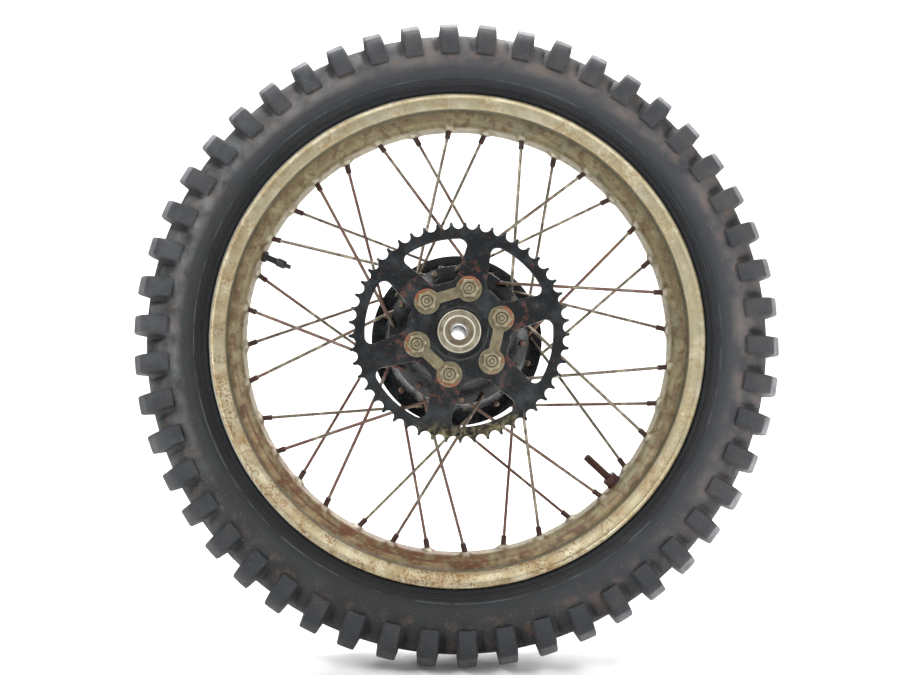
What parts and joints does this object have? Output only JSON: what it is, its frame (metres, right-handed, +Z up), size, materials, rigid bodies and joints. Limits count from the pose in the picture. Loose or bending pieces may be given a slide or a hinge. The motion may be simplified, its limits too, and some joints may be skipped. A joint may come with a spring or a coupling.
{
  "type": "spoked wheel",
  "caption": "Off-road motorcycle rear wheel with a knobbly tyre, wire spokes, chain sprocket and drum hub on ball bearings.",
  "frame": {"origin": "on the axle's centre line, at the middle of the rim's width", "axes": "Y along the axle with the sprocket toward -Y and the brake drum toward +Y, +Z up, X forward; the wheel stands on its tread"},
  "size_m": [0.641, 0.144, 0.641],
  "materials": {
    "tyre_rubber": "aged matt rubber with dry dust",
    "butyl_rubber": "smooth black rubber",
    "rim_aluminium": "dull polished rim alloy with brown staining",
    "rusty_spoke_steel": "plated steel gone to rust",
    "rusty_nipple_steel": "dark rust",
    "hub_black": "cast alloy under scuffed black paint",
    "drum_iron": "machined, lightly rusted",
    "sprocket_black": "black paint worn to metal on the teeth",
    "dull_zinc": "dull zinc plate with rust at the edges",
    "bearing_steel": "ground and polished",
    "cage_brass": "pressed",
    "plain_steel": "drawn tube",
    "collar_steel": "dull zinc plate",
    "valve_black": "blackened brass",
    "valve_brass": "turned",
    "valve_cap_black": "moulded"
  },
  "bodies": {
    "axle_set": {"left_inner_race": "bearing_steel", "right_inner_race": "bearing_steel", "distance_tube": "plain_steel", "axle_collar": "collar_steel"},
    "wheel": {"tyre": "tyre_rubber", "inner_tube": "butyl_rubber", "rim_strip": "butyl_rubber", "rim": "rim_aluminium", "near_outer_spokes": "rusty_spoke_steel", "near_inner_spokes": "rusty_spoke_steel", "far_outer_spokes": "rusty_spoke_steel", "far_inner_spokes": "rusty_spoke_steel", "near_nipples": "rusty_nipple_steel", "far_nipples": "rusty_nipple_steel", "hub_shell": "hub_black", "brake_liner": "drum_iron", "sprocket": "sprocket_black", "lock_plate_1": "dull_zinc", "lock_plate_2": "dull_zinc", "lock_plate_3": "dull_zinc", "sprocket_bolts": "dull_zinc", "bearing_seal": "butyl_rubber", "left_outer_race": "bearing_steel", "right_outer_race": "bearing_steel", "valve_stem": "valve_black", "valve_nut": "valve_black", "valve_core": "valve_brass", "valve_cap": "valve_cap_black", "rim_lock_shoe": "butyl_rubber", "rim_lock_stud": "rusty_nipple_steel", "rim_lock_washer": "rusty_nipple_steel", "rim_lock_nut": "rusty_nipple_steel"},
    "left_ball_ring": {"left_balls": "bearing_steel", "left_cage": "cage_brass"},
    "right_ball_ring": {"right_balls": "bearing_steel", "right_cage": "cage_brass"},
    "valve_needle": {"valve_pin": "valve_brass"}
  },
  "joints": [
    {"name": "wheel_spin", "type": "hinge", "parent": "axle_set", "child": "wheel", "pos_m": [0, 0, 0], "axis": [0, 1, 0], "continuous": true},
    {"name": "left_ball_turn", "type": "hinge", "parent": "axle_set", "child": "left_ball_ring", "pos_m": [0, -0.0665, 0], "axis": [0, 1, 0], "continuous": true},
    {"name": "right_ball_turn", "type": "hinge", "parent": "axle_set", "child": "right_ball_ring", "pos_m": [0, 0.0155, 0], "axis": [0, 1, 0], "continuous": true},
    {"name": "valve_pin_slide", "type": "slide", "parent": "wheel", "child": "valve_needle", "axis": [-0.9215, 0, 0.3883], "range_m": [0, 0.0015], "stiffness_N_per_m": 60, "springref_m": -0.002}
  ],
  "couplings": [
    {"joint": "left_ball_turn", "follows": "wheel_spin", "ratio": 0.64},
    {"joint": "right_ball_turn", "follows": "wheel_spin", "ratio": 0.64}
  ]
}
